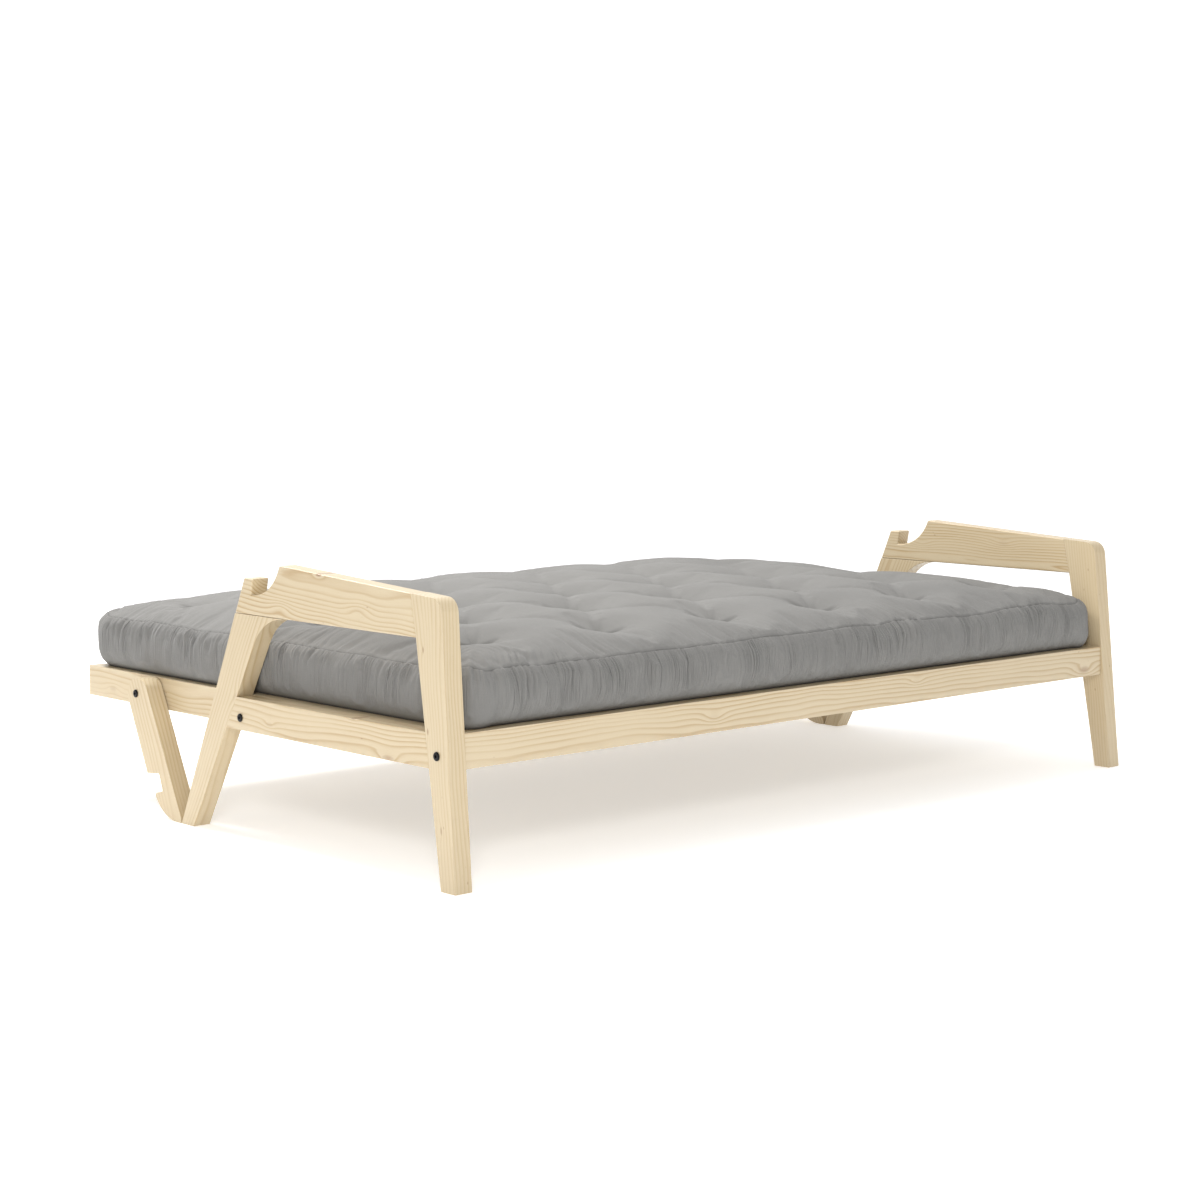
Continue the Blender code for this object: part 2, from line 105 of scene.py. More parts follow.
# Futon: heights and tufts
SEAM_HEIGHT = 0.398
CROWN_HEIGHT = 0.446
CROWN_REACH = 0.100
TUFT_HEIGHT = 0.411
TUFT_ROWS = (-0.475, -0.235, 0.005, 0.245, 0.485)
TUFT_SPACING = 0.32
TUFT_DIP_REACH = 0.045
VALLEY_DEPTH = 0.006
VALLEY_WIDTH = 0.030
SEAM_WAVE = 0.0045

# Futon: boxing
BOXING_BULGE = 0.020
BOXING_UNDERCUT = 0.011
CORNER_FILL = 0.036

# Futon: mesh and filling
GRID = 0.012
BOXING_ROWS = 12
SWELL_LIMIT = 0.022
CLOTH_FRAMES = 22
CLOTH_SETTINGS = {
    "quality": 6,
    "mass": 0.25,
    "tension_stiffness": 25,
    "compression_stiffness": 25,
    "shear_stiffness": 8,
    "bending_stiffness": 4.0,
    "tension_damping": 8,
    "compression_damping": 8,
    "air_damping": 3,
    "shrink_min": -0.008,
    "use_pressure": True,
    "uniform_pressure_force": 3.0,
}

# Futon: sewing
PUCKER_DEPTH = 0.019
PUCKER_MIDDLE = 0.40
SOFT_FOLD_DEPTH = 0.0045
CLOTH_LIE = math.radians(-46)
PINCH_DEPTH = 0.0125
SHORT_PINCH_DEPTH = 0.0095
DEEPEST_PINCH = 0.019
CREASE_WIDTH = 0.0065
SEAM_GROOVE = 0.0026
BOXING_MAP_HEIGHT = 0.15

# Futon: cotton
COTTON_DARK = (0.165, 0.163, 0.157)
COTTON_LIGHT = (0.222, 0.219, 0.211)
COTTON_TONE = (0.160, 0.158, 0.152)
COTTON_GAP = (0.10, 0.10, 0.096)
COTTON_SHADE = (0.050, 0.050, 0.048)
WARP_SPACING = 0.0011
WEFT_SPACING = 0.0012


# ---------------------------------------------------------------- numbers

def hashed(a, b, seed):
    """A repeatable number from -1 to 1 for each pair of whole numbers."""
    mixed = a.astype(np.int64) * 374761393 + b.astype(np.int64) * 668265263 + seed * 974634777
    mixed = mixed & 0xFFFFFFFF
    mixed = ((mixed ^ (mixed >> 13)) * 1274126177) & 0xFFFFFFFF
    return ((mixed ^ (mixed >> 16)) & 0xFFFF) / 32767.5 - 1.0


def noise(x, y, seed):
    """Smooth noise from -1 to 1 with one bump a unit."""
    x, y = np.broadcast_arrays(np.asarray(x, float), np.asarray(y, float))
    left, low = np.floor(x), np.floor(y)
    along, up = x - left, y - low
    along = along * along * (3 - 2 * along)
    up = up * up * (3 - 2 * up)
    low_row = hashed(left, low, seed) * (1 - along) + hashed(left + 1, low, seed) * along
    high_row = hashed(left, low + 1, seed) * (1 - along) + hashed(left + 1, low + 1, seed) * along
    return low_row * (1 - up) + high_row * up


def smooth(low, high, value):
    """0 below low and 1 above high, with an eased rise between."""
    t = np.clip((value - low) / (high - low), 0, 1)
    return t * t * (3 - 2 * t)


# ---------------------------------------------------------------- material helpers

class Graph:
    """Short calls for building one material's nodes."""

    def __init__(self, name):
        self.material = bpy.data.materials.new(name)
        self.material.use_nodes = True
        self.tree = self.material.node_tree
        self.shader = self.tree.nodes["Principled BSDF"]

    def node(self, kind, **settings):
        made = self.tree.nodes.new(kind)
        for key, value in settings.items():
            setattr(made, key, value)
        return made

    def put(self, socket, value):
        """Link an output, or set a plain value."""
        if isinstance(value, bpy.types.NodeSocket):
            self.tree.links.new(value, socket)
        else:
            socket.default_value = value

    def math(self, operation, a, b=0.0, clamp=False):
        made = self.node("ShaderNodeMath", operation=operation, use_clamp=clamp)
        self.put(made.inputs[0], a)
        self.put(made.inputs[1], b)
        return made.outputs[0]

    def vector(self, operation, a, b=(0, 0, 0)):
        made = self.node("ShaderNodeVectorMath", operation=operation)
        self.put(made.inputs[0], a)
        self.put(made.inputs[1], b)
        return made.outputs["Value"] if operation in ("LENGTH", "DOT_PRODUCT") else made.outputs["Vector"]

    def noise(self, at, scale, detail=2.0, roughness=0.5, color=False):
        made = self.node("ShaderNodeTexNoise")
        self.put(made.inputs["Vector"], at)
        self.put(made.inputs["Scale"], scale)
        self.put(made.inputs["Detail"], detail)
        self.put(made.inputs["Roughness"], roughness)
        return made.outputs["Color"] if color else made.outputs["Fac"]

    def ramp(self, value, stops):
        made = self.node("ShaderNodeValToRGB")
        self.put(made.inputs[0], value)
        elements = made.color_ramp.elements
        while len(elements) < len(stops):
            elements.new(0.5)
        for element, (position, shade) in zip(elements, stops):
            element.position = position
            element.color = (*shade, 1.0) if isinstance(shade, tuple) else (shade, shade, shade, 1.0)
        return made.outputs[0]

    def mix(self, factor, a, b):
        made = self.node("ShaderNodeMix", data_type="RGBA")
        self.put(made.inputs[0], factor)
        self.put(made.inputs[6], a if isinstance(a, bpy.types.NodeSocket) else (*a, 1.0))
        self.put(made.inputs[7], b if isinstance(b, bpy.types.NodeSocket) else (*b, 1.0))
        return made.outputs[2]

    def bump(self, height, distance, strength=1.0, after=None):
        made = self.node("ShaderNodeBump")
        self.put(made.inputs["Height"], height)
        self.put(made.inputs["Distance"], distance)
        self.put(made.inputs["Strength"], strength)
        if after is not None:
            self.put(made.inputs["Normal"], after)
        return made.outputs[0]


# ---------------------------------------------------------------- pine

PINE_LIGHT = (0.575, 0.482, 0.325)
PINE_DARK = (0.370, 0.240, 0.100)
PINE_KNOT = (0.22, 0.10, 0.04)
PINE_FIBRE = (0.46, 0.335, 0.18)
PINE_PORE = (0.35, 0.225, 0.11)
PINE_TONE = (0.51, 0.385, 0.22)
PINE_EDGE = (0.62, 0.53, 0.38)


def board_space(g, name, grain, face):
    """Places on a board, measured from its middle: along the grain, across the face and out of it."""
    low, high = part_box(name)
    middle = (low + high) / 2
    along = Vector(grain).normalized()
    out = Vector(face).normalized()
    across = out.cross(along).normalized()
    place = g.node("ShaderNodeTexCoord").outputs["Object"]
    centred = g.vector("SUBTRACT", place, tuple(middle))
    mapping = g.node("ShaderNodeMapping", vector_type="POINT")
    g.put(mapping.inputs["Vector"], centred)
    mapping.inputs["Rotation"].default_value = Matrix((along, across, out)).to_euler("XYZ")
    return mapping.outputs["Vector"]


def trunk_radius(g, place, shifted, pith, tilt):
    """Distance from the tree's middle, a slightly tilted axis beside the board, warped along its length."""
    run, width, depth = place
    slow = g.vector("MULTIPLY", shifted, (2.4, 5.0, 5.0))
    warp = g.vector("SUBTRACT", g.noise(slow, 1.0, 2.0, 0.55, color=True), (0.5, 0.5, 0.5))
    warp = g.vector("MULTIPLY", warp, (0.0, 0.030, 0.030))
    tilt_across = g.math("MULTIPLY", run, math.tan(math.radians(tilt[0])))
    tilt_deep = g.math("MULTIPLY", run, math.tan(math.radians(tilt[1])))
    trunk = g.node("ShaderNodeCombineXYZ")
    g.put(trunk.inputs[1], g.math("ADD", g.math("ADD", width, tilt_across), pith[0]))
    g.put(trunk.inputs[2], g.math("ADD", g.math("ADD", depth, tilt_deep), pith[1]))
    return g.vector("LENGTH", g.vector("ADD", trunk.outputs[0], warp))


def knot_marks(g, place, shifted, knots):
    """How far the rings part round the knots, and how much of each place is knot wood."""
    run, width = place[:2]
    parting = None
    core = None
    for knot_along, knot_across, size, darkness in knots:
        da = g.math("DIVIDE", g.math("SUBTRACT", run, knot_along), size * 2.6)
        dc = g.math("DIVIDE", g.math("SUBTRACT", width, knot_across), size)
        squared = g.math("ADD", g.math("MULTIPLY", da, da), g.math("MULTIPLY", dc, dc))
        swell = g.math("EXPONENT", g.math("MULTIPLY", squared, -0.9))
        swell_size = g.math("MULTIPLY", swell, size * 0.75)
        parting = swell_size if parting is None else g.math("ADD", parting, swell_size)
        wobble = g.math("MULTIPLY", g.noise(g.vector("MULTIPLY", shifted, (160, 220, 60)), 1.0, 2.0), 0.35)
        inside = g.math("ADD", g.math("MULTIPLY", squared, 2.8), wobble)
        spot = g.math("MULTIPLY", g.math("SUBTRACT", 1.15, inside, clamp=True), darkness, clamp=True)
        core = spot if core is None else g.math("MAXIMUM", core, spot)
    return parting, core


def growth_lines(g, radius, spacing, shifted, contrast):
    """Growth rings: pale spring wood darkening to a narrow line of summer wood."""
    drift = g.math("MULTIPLY", g.noise(g.vector("MULTIPLY", shifted, (1.5, 16, 16)), 1.0, 1.0), 2.0)
    count = g.math("ADD", g.math("DIVIDE", radius, spacing), drift)
    fine = g.math("MULTIPLY", g.noise(g.vector("MULTIPLY", shifted, (9, 160, 160)), 1.0, 2.0), 0.22)
    ring = g.math("FRACT", g.math("ADD", count, fine))
    stops = ((0.0, 0.12), (0.08, 0.0), (0.40, 0.06), (0.66, 0.42), (0.82, 1.0), (0.92, 0.80), (1.0, 0.12))
    summer = g.ramp(ring, stops)
    patches = g.noise(g.vector("MULTIPLY", shifted, (3, 22, 22)), 1.0, 2.0)
    patch = g.ramp(patches, ((0.32, 0.35), (0.62, 1.0)))
    return g.math("MULTIPLY", g.math("MULTIPLY", summer, patch), 0.95 * contrast)


def wood_color(g, rings, fibre, shifted, core):
    """Pine's color: rings, fibres, pores, slow changes of tone, pin knots and knots."""
    color = g.mix(g.ramp(fibre, ((0.36, 0.0), (0.72, 0.22))), rings, PINE_FIBRE)
    pores = g.noise(g.vector("MULTIPLY", shifted, (60, 1500, 1500)), 1.0, 2.0, 0.5)
    color = g.mix(g.ramp(pores, ((0.66, 0.0), (0.74, 0.5))), color, PINE_PORE)
    tone = g.noise(g.vector("MULTIPLY", shifted, (1.2, 5, 5)), 1.0, 2.0)
    color = g.mix(g.ramp(tone, ((0.35, 0.0), (0.70, 0.30))), color, PINE_TONE)
    pin = g.node("ShaderNodeTexVoronoi", feature="F1")
    g.put(pin.inputs["Vector"], g.vector("MULTIPLY", shifted, (14, 34, 34)))
    g.put(pin.inputs["Scale"], 1.0)
    speck = g.ramp(pin.outputs["Distance"], ((0.03, 0.55), (0.055, 0.0)))
    color = g.mix(speck, color, PINE_KNOT)
    return color if core is None else g.mix(core, color, PINE_KNOT)


def pine(name, grain, face, pith, spacing=0.0052, tilt=(0.9, 0.5), knots=(), seed=0.0, contrast=1.0):
    """Lacquered pine. grain runs along the board and face is its widest face's normal, pith is how far
    the tree's middle lies from the board's middle: across the face, then behind it. A knot is
    (along, across, size, darkness), measured from the board's middle."""
    g = Graph(name + "_pine")
    board = board_space(g, name, grain, face)
    split = g.node("ShaderNodeSeparateXYZ")
    g.put(split.inputs[0], board)
    place = tuple(split.outputs)
    shifted = g.vector("ADD", board, (seed * 3.1, seed * 1.7, seed * 2.3))
    radius = trunk_radius(g, place, shifted, pith, tilt)
    parting, core = knot_marks(g, place, shifted, knots)
    if parting is not None:
        radius = g.math("ADD", radius, parting)
    line = growth_lines(g, radius, spacing, shifted, contrast)
    rings = g.mix(line, PINE_LIGHT, PINE_DARK)
    fibre = g.noise(g.vector("MULTIPLY", shifted, (22, 900, 900)), 1.0, 3.0, 0.65)
    color = wood_color(g, rings, fibre, shifted, core)

    # Rounded edges are a little paler where the lacquer is thin
    worn = g.ramp(g.node("ShaderNodeNewGeometry").outputs["Pointiness"], ((0.52, 0.0), (0.60, 0.35)))
    g.put(g.shader.inputs["Base Color"], g.mix(worn, color, PINE_EDGE))
    g.put(g.shader.inputs["Roughness"], g.ramp(fibre, ((0.30, 0.36), (0.75, 0.52))))
    g.shader.inputs["Coat Weight"].default_value = 0.18
    g.shader.inputs["Coat Roughness"].default_value = 0.28
    rough = g.bump(fibre, 0.00012, 0.6)
    g.put(g.shader.inputs["Normal"], g.bump(line, -0.00025, 0.6, rough))
    return g.material


def round_edges(obj, width, segments=3):
    """Rounded edges on a CAD board: its mesh stays as packed, and modifiers do the rounding."""
    for polygon in obj.data.polygons:
        polygon.use_smooth = True
    weld = obj.modifiers.new("Weld", "WELD")
    weld.merge_threshold = 0.00002
    flat = obj.modifiers.new("Whole faces", "DECIMATE")
    flat.decimate_type = "DISSOLVE"
    flat.angle_limit = math.radians(0.4)
    bevel = obj.modifiers.new("Round edges", "BEVEL")
    bevel.width = width
    bevel.segments = segments
    bevel.limit_method = "ANGLE"
    bevel.angle_limit = math.radians(32)
    bevel.use_clamp_overlap = True
    shading = obj.modifiers.new("Flat faces", "WEIGHTED_NORMAL")
    shading.weight = 100
    shading.keep_sharp = False


def finish_board(name, width=0.0028, **grain):
    """Rounded edges and a cut of pine of its own for one CAD board."""
    obj = NODES[name]
    obj.data.materials.clear()
    obj.data.materials.append(pine(name, **grain))
    round_edges(obj, width)


# Each end board's grain, pith, ring spacing, tilt of the trunk and contrast
END_BOARDS = {
    "front_leg": ((0, 0.12, 1), (0.075, 0.050), 0.0068, (0.4, 0.4), 0.50),
    "rear_leg": ((0, -0.49, 1), (0.052, 0.034), 0.0088, (0.5, 0.6), 0.66),
    "armrest": ((0, 1, 0.03), (0.040, 0.026), 0.0072, (1.0, 0.6), 1.0),
    "side_rail": ((0, 1, 0), (-0.044, 0.030), 0.0074, (0.6, 0.9), 1.0),
    "seat_rail": ((0, 1, 0), (0.050, 0.040), 0.0075, (0.5, 0.5), 1.0),
    "back_rail": ((0, 1, 0), (0.040, 0.030), 0.0076, (0.9, 1.0), 1.0),
    "support_leg": ((0, 0.52, 1), (0.036, 0.030), 0.0082, (0.9, 0.7), 0.66),
}
CROSS_RAILS = ("front_rail", "seat_rear_rail", "back_lower_rail", "back_top_rail")
LEDGERS = ("seat_front_ledger", "seat_rear_ledger", "back_lower_ledger", "back_top_ledger")
SLATS_EACH = 9
KNOTS = {
    "left_armrest": ((0.135, 0.034, 0.013, 0.0), (-0.12, 0.012, 0.015, 0.05), (0.01, -0.043, 0.007, 0.9)),
    "right_armrest": ((-0.10, 0.010, 0.015, 0.1), (0.16, -0.012, 0.012, 0.0)),
    "left_front_leg": ((0.02, 0.012, 0.005, 0.8), (-0.16, -0.006, 0.006, 0.6), (0.17, 0.008, 0.005, 0.7)),
    "left_side_rail": ((0.18, 0.010, 0.009, 0.2), (-0.21, 0.030, 0.013, 0.55), (-0.10, -0.034, 0.007, 0.7)),
    "right_side_rail": ((0.05, 0.006, 0.010, 0.4),),
    "front_rail": ((0.915, -0.016, 0.016, 0.8), (-0.33, -0.004, 0.012, 0.15), (0.30, 0.012, 0.010, 0.1)),
    "left_back_rail": ((0.18, 0.010, 0.011, 0.3),),
    "left_rear_leg": ((0.06, 0.010, 0.010, 0.1),),
    "back_top_rail": ((-0.5, 0.01, 0.011, 0.5), (0.36, -0.006, 0.013, 0.3)),
}


def finish_ends():
    """The boards of both end frames, the back's side rails and the support legs."""
    for number, side in enumerate(SIDES):
        face = (-1, 0, 0) if side == "left" else (1, 0, 0)
        for index, (part, (grain, pith, spacing, tilt, contrast)) in enumerate(END_BOARDS.items()):
            name = f"{side}_{part}"
            finish_board(name, grain=grain, face=face, pith=pith, spacing=spacing, tilt=tilt,
                         knots=KNOTS.get(name, ()), seed=1.0 + 5.0 * number + index, contrast=contrast)


def finish_rails():
    """The cross rails and the ledgers that the slats lie on, with the grain along the sofa."""
    for index, name in enumerate(CROSS_RAILS):
        finish_board(name, grain=(1, 0, 0), face=(0, -1, 0), pith=(0.044 - 0.010 * index, 0.024),
                     spacing=0.0070, tilt=(0.30, 0.25), knots=KNOTS.get(name, ()), seed=20.0 + index,
                     contrast=1.3)
    for index, name in enumerate(LEDGERS):
        finish_board(name, width=0.0015, grain=(1, 0, 0), face=(0, -1, 0), pith=(0.030, 0.050),
                     seed=30.0 + index)


def finish_slats():
    """Each slat has its own pith and one knot, moved from slat to slat."""
    for prefix, phase, first_seed in (("seat", 0.0, 40.0), ("back", 1.3, 55.0)):
        for number in range(1, SLATS_EACH + 1):
            shift = 0.045 * math.sin(number * 2.4 + phase)
            knot = (0.22 * math.sin(number * 5.1), 0.022 * math.cos(number * 3.7), 0.008, 0.55)
            finish_board(f"{prefix}_slat_{number:02d}", width=0.002, grain=(0, 1, 0), face=(0, 0, 1),
                         pith=(shift, 0.045), spacing=0.006, tilt=(0.4, 1.1), knots=(knot,),
                         seed=first_seed + number)


# ---------------------------------------------------------------- metal

CIRCLE_POINTS = 36
SHANK_RADIUS = 0.0039
# Radius and height of each ring, from the shank over the head's rim and into the socket
BOLT_HEAD = (
    (SHANK_RADIUS, -0.0002), (0.0080, -0.0001), (0.0085, 0.0003), (0.0085, 0.0014),
    (0.0082, 0.0021), (0.0076, 0.0026), (0.0068, 0.0029), (0.0050, 0.0030),
)
BOLT_SOCKET = ((0.0036, 0.0030), (0.0034, 0.0027), (0.0034, 0.0006))


def steel(name, color, roughness, metallic, scale):
    """Plated or blackened steel with fine turning marks and handling wear."""
    g = Graph(name)
    place = g.node("ShaderNodeTexCoord").outputs["Object"]
    grit = g.noise(place, scale, 4.0, 0.6)
    cloud = g.noise(place, scale * 0.08, 3.0, 0.5)
    darker = tuple(0.72 * c for c in color)
    g.put(g.shader.inputs["Base Color"], g.mix(g.ramp(cloud, ((0.35, 0.0), (0.65, 1.0))), color, darker))
    g.put(g.shader.inputs["Roughness"], g.ramp(grit, ((0.3, roughness - 0.08), (0.7, roughness + 0.12))))
    g.shader.inputs["Metallic"].default_value = metallic
    g.put(g.shader.inputs["Normal"], g.bump(grit, 0.00004, 0.5))
    return g.material


def loft(name, rings, material):
    """A closed mesh through rings of points, all with the same number of points."""
    count = len(rings[0])
    points = [point for ring in rings for point in ring]
    faces = []
    for r in range(len(rings) - 1):
        for i in range(count):
            j = (i + 1) % count
            faces.append((r * count + i, r * count + j, (r + 1) * count + j, (r + 1) * count + i))
    faces.append(tuple(reversed(range(count))))
    faces.append(tuple(range((len(rings) - 1) * count, len(rings) * count)))
    mesh = bpy.data.meshes.new(name)
    mesh.from_pydata(points, [], faces)
    mesh.materials.append(material)
    obj = bpy.data.objects.new(name, mesh)
    bpy.context.scene.collection.objects.link(obj)
    return obj


def hexagon(radius, height):
    """A ring of points on a hexagon whose corners are radius away."""
    points = []
    for i in range(CIRCLE_POINTS):
        angle = 2 * math.pi * i / CIRCLE_POINTS
        part = (angle + math.pi / 6) % (math.pi / 3) - math.pi / 6
        reach = radius * math.cos(math.pi / 6) / math.cos(part)
        points.append((reach * math.cos(angle), reach * math.sin(angle), height))
    return points


def circle(radius, height):
    """A ring of points on a circle."""
    points = []
    for i in range(CIRCLE_POINTS):
        angle = 2 * math.pi * i / CIRCLE_POINTS
        points.append((radius * math.cos(angle), radius * math.sin(angle), height))
    return points


def socket_bolt(name, node, body, material):
    """A connector bolt with a wide flat head, a soft rim and a hex socket, in place of the plain CAD bolt."""
    low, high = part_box(node)
    middle = (low + high) / 2
    sign = 1 if middle.x > 0 else -1
    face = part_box("right_front_leg")[1].x + 0.0003
    length = high.x - low.x - 0.003
    rings = [circle(SHANK_RADIUS, -length)]
    rings += [circle(radius, height) for radius, height in BOLT_HEAD]
    rings += [hexagon(radius, height) for radius, height in BOLT_SOCKET]
    obj = loft(name, rings, material)
    place = Matrix.Translation((sign * face, middle.y, middle.z))
    outward = Matrix.Rotation(sign * math.pi / 2, 4, "Y")
    turned = Matrix.Rotation(0.35 * middle.y, 4, "Z")
    obj.matrix_world = place @ outward @ turned
    for polygon in obj.data.polygons:
        polygon.use_smooth = True
    hold = obj.modifiers.new("Crisp", "EDGE_SPLIT")
    hold.split_angle = math.radians(40)
    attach(obj, body)
    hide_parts(node)


def finish_metal():
    """Black bolts with socket heads on the outside, and zinc-plated fittings inside."""
    black = steel("blackened_steel", (0.018, 0.018, 0.019), 0.34, 0.85, 2600)
    zinc = steel("zinc_plate", (0.62, 0.63, 0.65), 0.32, 1.0, 1800)
    for side in SIDES:
        socket_bolt(side + "_front_bolt_socket_head", side + "_front_bolt", "frame", black)
        socket_bolt(side + "_rear_bolt_socket_head", side + "_rear_bolt", "frame", black)
        socket_bolt(side + "_support_bolt_socket_head", side + "_support_bolt", "back", black)
        for part in ("pivot_plate", "pivot_bolt", "rear_nut", "barrel_nut", "support_washer"):
            obj = NODES[f"{side}_{part}"]
            obj.data.materials.clear()
            obj.data.materials.append(zinc)
            round_edges(obj, 0.0004, 2)


# ---------------------------------------------------------------- futon

def edge_distance(x, y):
    """How far a place lies inside the nearest side of the futon."""
    return np.minimum(FUTON_HALF - np.abs(x), np.minimum(y - FUTON_FRONT, FUTON_REAR - y))


def points_of(mesh):
    """A mesh's vertices as rows of x, y and z."""
    points = np.empty(len(mesh.vertices) * 3)
    mesh.vertices.foreach_get("co", points)
    return points.reshape(-1, 3)


def plan_grid():
    """Points of the futon's top on a grid with rounded corners, seen from above."""
    front, rear = FUTON_FRONT, FUTON_REAR
    half_x, half_y = FUTON_HALF, (rear - front) / 2
    columns = int(round(2 * half_x / GRID)) + 1
    rows = int(round(2 * half_y / GRID)) + 1
    across, along = np.linspace(-half_x, half_x, columns), np.linspace(-half_y, half_y, rows)
    x, y = np.meshgrid(across, along, indexing="ij")
    over_x = np.maximum(np.abs(x) - (half_x - PLAN_RADIUS), 0)
    over_y = np.maximum(np.abs(y) - (half_y - PLAN_RADIUS), 0)
    square = np.maximum(over_x, over_y)
    reach = np.hypot(over_x, over_y)
    shrink = np.where(reach > 1e-9, square / np.maximum(reach, 1e-9), 1.0)
    x = np.sign(x) * (np.minimum(np.abs(x), half_x - PLAN_RADIUS) + over_x * shrink)
    y = np.sign(y) * (np.minimum(np.abs(y), half_y - PLAN_RADIUS) + over_y * shrink) + (front + rear) / 2
    return x, y


def rim(grid):
    """The border of a grid as one closed ring, counterclockwise from the front left corner."""
    return np.concatenate([grid[:-1, 0], grid[-1, :-1], grid[:0:-1, -1], grid[0, :0:-1]])


def set_rim(grid, ring):
    """Write a ring back to the border of a grid, in the order that rim reads it."""
    columns, rows = grid.shape[0], grid.shape[1]
    a, b, c = columns - 1, columns + rows - 2, 2 * columns + rows - 3
    grid[:-1, 0] = ring[:a]
    grid[-1, :-1] = ring[a:b]
    grid[:0:-1, -1] = ring[b:c]
    grid[0, :0:-1] = ring[c:]


def rim_mask(grid):
    """True on the border of a grid."""
    mask = np.zeros(grid.shape, bool)
    mask[[0, -1]] = True
    mask[:, [0, -1]] = True
    return mask


def tuft_places():
    """Five rows of tufts, set half a space over in every second row."""
    places = []
    for row, y in enumerate(TUFT_ROWS):
        count = 6 if row % 2 == 0 else 5
        for i in range(count):
            x = (i - (count - 1) / 2) * TUFT_SPACING
            aside, ahead = 0.010 * math.sin(7.0 * i + 3.0 * row), 0.008 * math.cos(5.0 * i + 2.0 * row)
            places.append((x + aside, y + ahead))
    return places


def neighbours(places):
    """Pairs of tufts that lie diagonally next to each other."""
    pairs = []
    for i, first in enumerate(places):
        for second in places[i + 1:]:
            next_row = 0.15 < abs(second[1] - first[1]) < 0.30
            if next_row and abs(second[0] - first[0]) < 0.6 * TUFT_SPACING:
                pairs.append((first, second))
    return pairs


def beside(x, y, from_x, from_y, to_x, to_y):
    """How far points lie from a line between two places, and what part of the way along they are."""
    run_x, run_y = to_x - from_x, to_y - from_y
    part = ((x - from_x) * run_x + (y - from_y) * run_y) / (run_x ** 2 + run_y ** 2)
    part = np.clip(part, 0, 1)
    return np.hypot(x - from_x - part * run_x, y - from_y - part * run_y), part


def start_top():
    """The futon's top before it is filled: a crown with a dip at each tuft and valleys between tufts."""
    x, y = plan_grid()
    edge = np.maximum(edge_distance(x, y), 0)
    z = SEAM_HEIGHT + (CROWN_HEIGHT - SEAM_HEIGHT) * (1 - np.exp(-edge / CROWN_REACH))
    places = tuft_places()
    for (from_x, from_y), (to_x, to_y) in neighbours(places):
        aside, part = beside(x, y, from_x, from_y, to_x, to_y)
        sag = 1 - 0.45 * np.sin(math.pi * part)
        z = z - VALLEY_DEPTH * sag * np.exp(-(aside / VALLEY_WIDTH) ** 2)
    for tuft_x, tuft_y in places:
        distance = np.hypot(x - tuft_x, y - tuft_y)
        dip = np.maximum(z - TUFT_HEIGHT, 0)
        z = z - dip * np.exp(-(distance / TUFT_DIP_REACH) ** 1.3)
    wave = SEAM_WAVE * noise((x + y) / 0.13, (x - y) / 0.13, 41)
    return np.stack([x, y, z + wave * np.exp(-edge / 0.05)], -1)


def start_boxing(ring):
    """The futon's sides below the seam, round in section; the lower edge fills the corners in front."""
    outward = ring_outward(ring)
    front_corner = np.abs(outward[:, :1]) * np.maximum(-outward[:, 1:2], 0)
    levels = []
    for step in range(BOXING_ROWS + 1):
        t = step / BOXING_ROWS
        height = FUTON_BOTTOM + (ring[:, 2] - FUTON_BOTTOM) * t
        undercut = (BOXING_UNDERCUT * np.abs(outward[:, 1:2]) - CORNER_FILL * front_corner) * (1 - t) ** 4
        offset = BOXING_BULGE * (1 - abs(2 * t - 1) ** 4) - undercut
        level = ring.copy()
        level[:, :2] += outward * offset
        level[:, 2] = height
        levels.append(level)
    return np.stack(levels, 1)


def ring_outward(ring):
    """Unit vectors that point out of a closed counterclockwise ring, seen from above."""
    run = np.roll(ring[:, :2], -1, 0) - np.roll(ring[:, :2], 1, 0)
    run /= np.linalg.norm(run, axis=1, keepdims=True)
    return np.stack([run[:, 1], -run[:, 0]], -1)


def shell_mesh(name, top, boxing, underside=False):
    """One mesh from the top grid and the boxing, sewn at the seam; the underside closes it."""
    columns, rows = top.shape[:2]
    number = np.arange(columns * rows).reshape(columns, rows)
    ring_count, levels = boxing.shape[:2]
    below = columns * rows + np.arange(ring_count * (levels - 1)).reshape(ring_count, levels - 1)
    whole = np.concatenate([below, rim(number)[:, None]], 1)
    points = np.concatenate([top.reshape(-1, 3), boxing[:, :-1].reshape(-1, 3)])
    following = np.roll(whole, -1, 0)
    top_faces = [number[:-1, :-1], number[1:, :-1], number[1:, 1:], number[:-1, 1:]]
    box_faces = [whole[:, :-1], following[:, :-1], following[:, 1:], whole[:, 1:]]
    faces = [np.stack(corners, -1).reshape(-1, 4) for corners in (top_faces, box_faces)]
    faces = [tuple(face) for face in np.concatenate(faces).tolist()]
    if underside:
        more, low_faces = underside_faces(top, whole[:, 0], points)
        points = np.concatenate([points, more])
        faces += low_faces
    mesh = bpy.data.meshes.new(name)
    mesh.from_pydata(points.tolist(), [], faces)
    mesh.update()
    return mesh, number, whole


